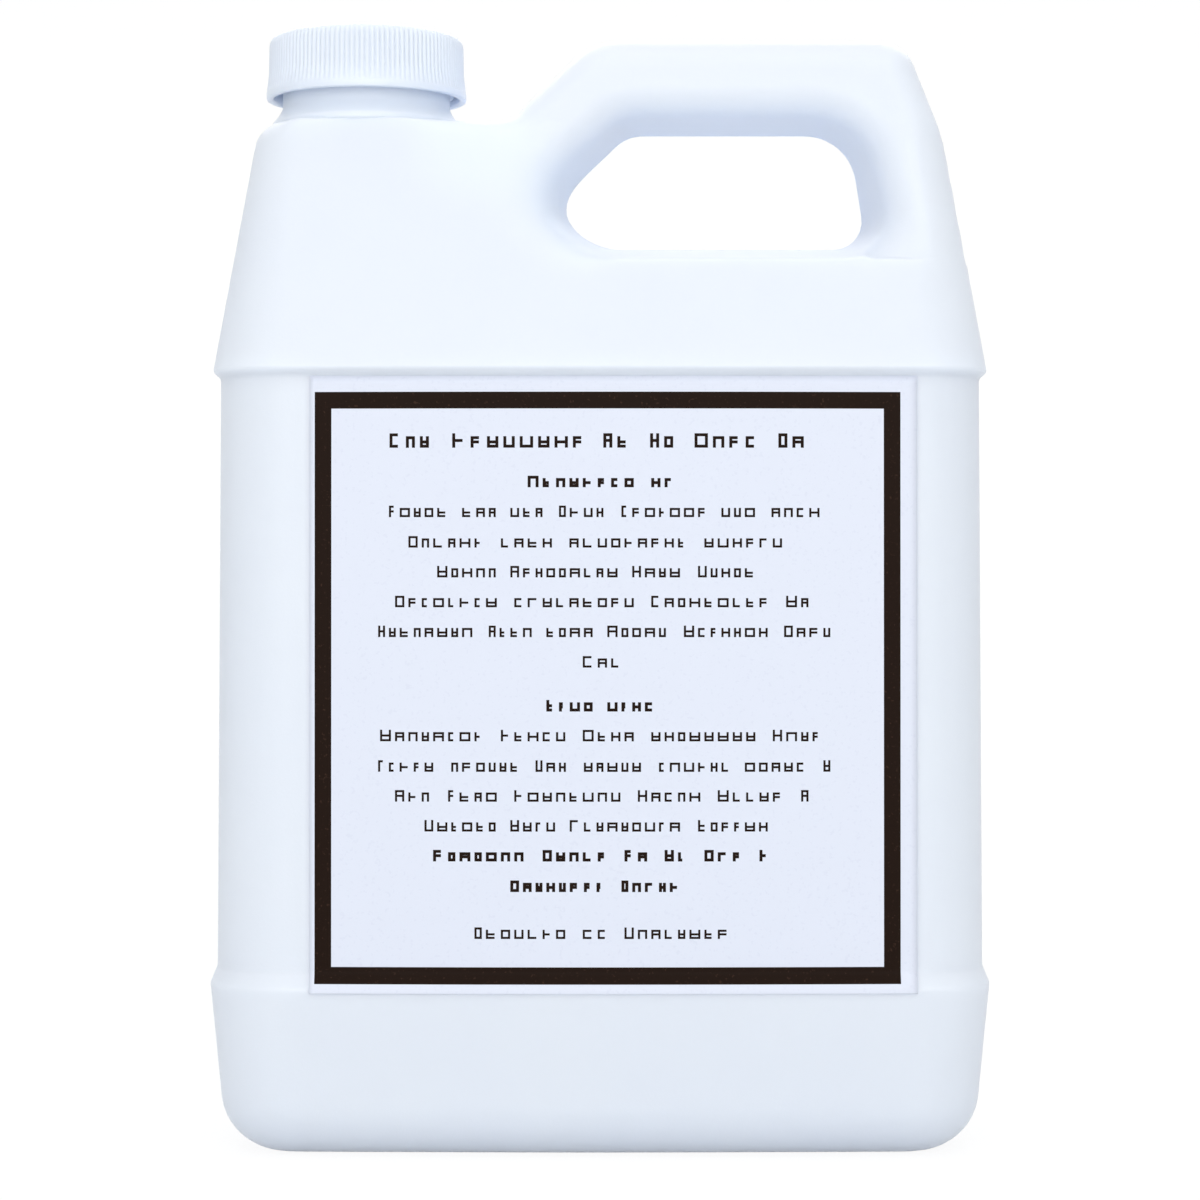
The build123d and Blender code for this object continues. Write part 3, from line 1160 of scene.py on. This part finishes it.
@dataclass
class FrontLabel:
    """The front label: coated paper with a printed frame and greeked lines of print."""

    form: JugForm
    origin: Vector
    left: float = -47.75
    right: float = 52.15
    foot: float = 27.7
    head: float = 129.1
    frame_left: float = -46.9
    frame_right: float = 49.4
    frame_foot: float = 29.3
    frame_head: float = 126.5
    frame_line: float = 2.75
    rise: float = 0.1
    print_height: float = 1.9
    back_cell: float = 5.0     # size of the glued side's faces
    ledge_cell: float = 0.25   # and where the label bends over the ledge
    seed: int = 7
    # Foot of each line below the frame's outer head, and the share of the width that it takes.
    drops: tuple[float, ...] = (
        *(9.2, 15.7, 20.6, 25.6, 30.5, 35.4, 40.3, 45.3),
        *(52.5, 57.4, 62.4, 67.3, 72.2, 77.1, 82.1, 89.8),
    )
    shares: tuple[float, ...] = (
        *(0.84, 0.30, 0.80, 0.72, 0.64, 0.82, 0.88, 0.1),
        *(0.2, 0.85, 0.85, 0.82, 0.68, 0.65, 0.36, 0.47),
    )
    bold_lines: tuple[int, ...] = (1, 8, 13, 14)
    blocks: list[tuple[float, float, float, float]] = field(default_factory=list)

    def build(self) -> bpy.types.Object:
        """Build the label and put it on the bottle.

        Returns:
            The label's object.
        """
        self.blocks = self.frame_bars() + self.lines_of_print()
        cuts_x = {round(x, 3) for a, b, _, _ in self.blocks for x in (a, b)}
        cuts_z = {round(z, 3) for _, _, a, b in self.blocks for z in (a, b)}
        xs = self.lines(self.left, self.right, cuts_x, 2.0)
        zs = self.lines(self.foot, self.head, cuts_z, 2.0)
        ledge = [z for z in np.arange(27.9, 31.6, 0.3) if min(abs(zs - z)) > 0.12]
        zs = np.sort(np.concatenate([zs, ledge]))
        gx, gz = np.meshgrid(xs, zs, indexing="ij")
        x, z = gx.ravel(), gz.ravel()
        y = -np.interp(z, self.form.levels, self.form.depths)
        for _ in range(4):
            y = y + self.form.plan(x, y, z)
        front = np.stack([x, y - self.rise, z], axis=1)
        back = np.stack([x, y + 0.05, z], axis=1)
        faces, inked = self.sheet(len(xs), len(zs), xs, zs)
        label = to_object("front_label", np.concatenate([front, back]), faces, self.origin)
        label.data.materials.append(Finish.LABEL_PAPER.build())
        label.data.materials.append(Finish.FUSED_TONER.build())
        label.data.polygons.foreach_set("material_index", np.array(inked, np.int32))
        drop_loose(label)
        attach(label, "bottle")
        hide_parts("label")
        log.info("label: %d faces", len(faces))
        return label

    def lines(self, low: float, high: float, cuts: set[float], step: float) -> Array:
        """Merge the print's edges with plain grid lines between them."""
        lines = sorted({low, high, *(c for c in cuts if low < c < high)})
        merged = [lines[0]]
        for line in lines[1:]:
            parts = max(1, math.ceil((line - merged[-1]) / step))
            start = merged[-1]
            merged += [start + (line - start) * k / parts for k in range(1, parts + 1)]
        return np.array(merged)

    def sheet(self, nx: int, nz: int, xs: Array, zs: Array) -> tuple[list[tuple], list[int]]:
        """List the faces of the closed sheet, and which of them are inked."""
        middle_x, middle_z = (xs[1:] + xs[:-1]) / 2, (zs[1:] + zs[:-1]) / 2
        ink = np.zeros((nx - 1, nz - 1), bool)
        for a, b, c, d in self.blocks:
            across = (middle_x > a) & (middle_x < b)
            ink |= across[:, None] & ((middle_z > c) & (middle_z < d))[None, :]
        faces, inked = [], []
        behind = nx * nz
        for i in range(nx - 1):
            for k in range(nz - 1):
                a = i * nz + k
                faces.append((a, a + nz, a + nz + 1, a + 1))
                inked.append(int(ink[i, k]))
        for loop in self.back_cells(xs, zs):
            faces.append(tuple(behind + i * nz + k for i, k in loop))
            inked.append(0)
        rim = [i * nz for i in range(nx)] + [(nx - 1) * nz + k for k in range(1, nz)]
        rim += [i * nz + nz - 1 for i in range(nx - 2, -1, -1)] + list(range(nz - 2, 0, -1))
        for a, b in zip(rim, rim[1:] + rim[:1]):
            faces.append((b, a, a + behind, b + behind))
            inked.append(0)
        return faces, inked

    def back_cells(self, xs: Array, zs: Array) -> list[list[tuple[int, int]]]:
        """List the glued side's faces: wide cells that keep every point of the label's rim.

        Args:
            xs: grid lines along X.
            zs: grid lines along Z.

        Returns:
            Each face as line numbers along X and Z, in order.
        """
        ledge = self.form.sizes.ledge_top + 1.0
        columns = self.spread(xs, np.full(len(xs), self.back_cell))
        rows = self.spread(zs, np.where(zs < ledge, self.ledge_cell, self.back_cell))
        cells = []
        for i0, i1 in zip(columns, columns[1:]):
            for k0, k1 in zip(rows, rows[1:]):
                foot = range(i0, i1) if k0 == 0 else (i0,)
                right = range(k0, k1) if i1 == len(xs) - 1 else (k0,)
                head = range(i1, i0, -1) if k1 == len(zs) - 1 else (i1,)
                left = range(k1, k0, -1) if i0 == 0 else (k1,)
                loop = [(i, k0) for i in foot] + [(i1, k) for k in right]
                loop += [(i, k1) for i in head] + [(i0, k) for k in left]
                cells.append(loop[::-1])
        return cells

    def spread(self, lines: Array, gaps: Array) -> list[int]:
        """Pick grid lines that lie at least a gap apart, with the first and the last."""
        picked = [0]
        for i in range(1, len(lines) - 1):
            if lines[i] - lines[picked[-1]] >= gaps[i]:
                picked.append(i)
        return [*picked, len(lines) - 1]

    def frame_bars(self) -> list[tuple[float, float, float, float]]:
        """List the printed frame's four bars as left, right, foot and head."""
        line = self.frame_line
        left, right, foot, head = self.frame_left, self.frame_right, self.frame_foot, self.frame_head
        return [
            (left, right, head - line, head),
            (left, right, foot, foot + line),
            (left, left + line, foot + line, head - line),
            (right - line, right, foot + line, head - line),
        ]

    def lines_of_print(self) -> list[tuple[float, float, float, float]]:
        """Lay out greeked print: word-like runs of short marks on sixteen lines."""
        rng = random.Random(self.seed)
        pens = {wide: self.pen(rng, wide) for wide in (1.0, 1.06, 1.3)}
        blocks = []
        for number, (drop, share) in enumerate(zip(self.drops, self.shares)):
            title = number == 0
            wide = 1.3 if title else (1.0, 1.06)[number % 2]
            height = self.print_height * (1.25 if title else 1.0)
            bold = title or number in self.bold_lines
            blocks += self.one_line(rng, pens[wide], share, self.frame_head - drop, height, bold)
        return blocks

    def pen(self, rng: random.Random, wide: float) -> list[tuple[float, float]]:
        """Space mark positions across the label, so that lines can share grid lines."""
        places = []
        x = self.frame_left + self.frame_line + 1.5
        while x < self.frame_right - self.frame_line - 3.2 * wide:
            mark = wide * rng.choice((1.15, 1.45, 1.45, 1.45, 1.7))
            places.append((x, x + mark))
            x += mark + 0.62 * wide
        return places

    def one_line(
        self, rng: random.Random, pen: list, share: float, foot: float, height: float, bold: bool
    ) -> list[tuple[float, float, float, float]]:
        """Set one line of word-like runs.

        Args:
            rng: the layout's random numbers.
            pen: the places that marks can take.
            share: how much of the width the line takes.
            foot: height of the line's foot.
            height: height of its tallest marks.
            bold: whether the marks are heavy.

        Returns:
            The line's marks as left, right, foot and head.
        """
        skip = round(len(pen) * (1 - share) / 2)
        places = pen[skip : len(pen) - skip]
        line = 0.5 if bold else 0.36
        marks = []
        left_in_word = rng.randint(3, 8)
        tall = True
        for x0, x1 in places:
            if left_in_word == 0:
                left_in_word = rng.randint(2, 9)
                tall = rng.random() < 0.6
                continue
            left_in_word -= 1
            head = foot + height * (1.0 if tall else 0.8)
            tall = False
            bars = rng.sample((foot, (foot + head - line) / 2, head - line), rng.choice((1, 2, 2)))
            marks += [(x0 + line, x1 - line, bar, bar + line) for bar in bars]
            marks.append((x0, x0 + line, foot, head))
            if rng.random() < 0.6:
                marks.append((x1 - line, x1, foot, head))
        return marks


# ---------------------------------------------------------------- the studio


@dataclass(frozen=True)
class SoftLight:
    """One rectangular soft box."""

    name: str
    place: tuple[float, float, float]
    aim: tuple[float, float, float]
    width: float
    height: float
    power: float
    colour: str = "#FFFFFF"

    def add(self) -> None:
        """Hang the light."""
        data = bpy.data.lights.new(self.name, "AREA")
        data.shape = "RECTANGLE"
        data.size = self.width
        data.size_y = self.height
        data.energy = self.power
        data.color = linear(self.colour)[:3]
        lamp = bpy.data.objects.new(self.name, data)
        lamp.location = self.place
        lamp.visible_camera = False
        lamp.rotation_euler = (Vector(self.aim) - Vector(self.place)).to_track_quat("-Z", "Y").to_euler()
        bpy.context.scene.collection.objects.link(lamp)


@dataclass
class Studio:
    """A white paper sweep, soft boxes, a pale surround and the camera."""

    lights: tuple[SoftLight, ...] = (
        SoftLight("overhead_box", (0, -0.25, 1.15), (0, 0, 0.1), 1.2, 1.0, 2.6, "#FFFDFA"),
        SoftLight("rear_box", (0, 1.0, 1.05), (0, 0, 0.12), 1.6, 0.7, 6.0, "#FFFDFA"),
        SoftLight("front_box", (0, -1.4, 0.45), (0, 0, 0.1), 1.6, 1.1, 9.6, "#FFFDFA"),
    )
    surround: float = 0.70
    camera_place: tuple[float, float, float] = (0.0, -0.549, 0.0923)
    lens: float = 95.1

    def build(self) -> None:
        """Set up the studio."""
        self.sweep()
        for light in self.lights:
            light.add()
        self.world()
        self.camera()
        scene = bpy.context.scene
        scene.view_settings.view_transform = "Standard"
        scene.view_settings.look = "None"
        scene.view_settings.exposure = 0.0
        scene.view_settings.gamma = 1.0

    def sweep(self) -> None:
        """Lay the paper on the floor and curve it up behind."""
        line = [(-2.2, 0.0), (0.8, 0.0)]
        for i in range(1, 25):
            turn = math.pi / 2 * i / 24
            line.append((0.8 + 0.7 * math.sin(turn), 0.7 - 0.7 * math.cos(turn)))
        line.append((1.5, 2.4))
        half = 2.6
        vertices = np.array([(x, y, z) for y, z in line for x in (-half, half)]) / MM
        faces = [(2 * i, 2 * i + 1, 2 * i + 3, 2 * i + 2) for i in range(len(line) - 1)]
        paper = to_object("paper_sweep", vertices, faces, Vector((0, 0, 0)))
        paper.data.materials.append(StudioSweep().build())

    def world(self) -> None:
        """Light the surround: white to the camera, a little brighter from above elsewhere."""
        world = bpy.data.worlds.new("pale_surround")
        world.use_nodes = True
        tree = world.node_tree
        tree.nodes.clear()
        place = add_node(tree, "ShaderNodeTexCoord")
        split = add_node(tree, "ShaderNodeSeparateXYZ", inputs={0: place.outputs["Generated"]})
        level = add_node(
            tree,
            "ShaderNodeMapRange",
            inputs={
                "Value": split.outputs["Z"],
                "From Min": -1.0,
                "To Min": self.surround * 0.8,
                "To Max": self.surround * 1.05,
            },
        )
        sky = add_node(
            tree,
            "ShaderNodeBackground",
            inputs={"Color": linear("#FFFFFF"), "Strength": level.outputs["Result"]},
        )
        white = add_node(tree, "ShaderNodeBackground", inputs={"Color": (1, 1, 1, 1), "Strength": 1.0})
        rays = add_node(tree, "ShaderNodeLightPath")
        mix = add_node(
            tree,
            "ShaderNodeMixShader",
            inputs={
                0: rays.outputs["Is Camera Ray"],
                1: sky.outputs["Background"],
                2: white.outputs["Background"],
            },
        )
        add_node(tree, "ShaderNodeOutputWorld", inputs={"Surface": mix.outputs["Shader"]})
        bpy.context.scene.world = world

    def camera(self) -> None:
        """Stand the camera square to the label."""
        data = bpy.data.cameras.new("camera")
        data.lens = self.lens
        data.sensor_width = 36.0
        data.clip_start = 0.01
        data.clip_end = 20.0
        camera = bpy.data.objects.new("camera", data)
        camera.location = self.camera_place
        camera.rotation_euler = (math.pi / 2, 0, 0)
        bpy.context.scene.collection.objects.link(camera)
        bpy.context.scene.camera = camera


def main() -> None:
    """Build the jug's looks and the studio round it."""
    lowest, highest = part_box("bottle")
    origin = Vector(((lowest.x + highest.x) / 2, (lowest.y + highest.y) / 2, lowest.z))
    sizes = JugSizes()
    form = JugForm(sizes)
    log.info("bottle box %s to %s", tuple(lowest), tuple(highest))
    BlownBottle(form, origin).build()
    RibbedCap(sizes, origin).build()
    FoamLiner(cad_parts["cap_liner"]).dress()
    FrontLabel(form, origin).build()
    Studio().build()


if __name__ == "__main__":
    main()
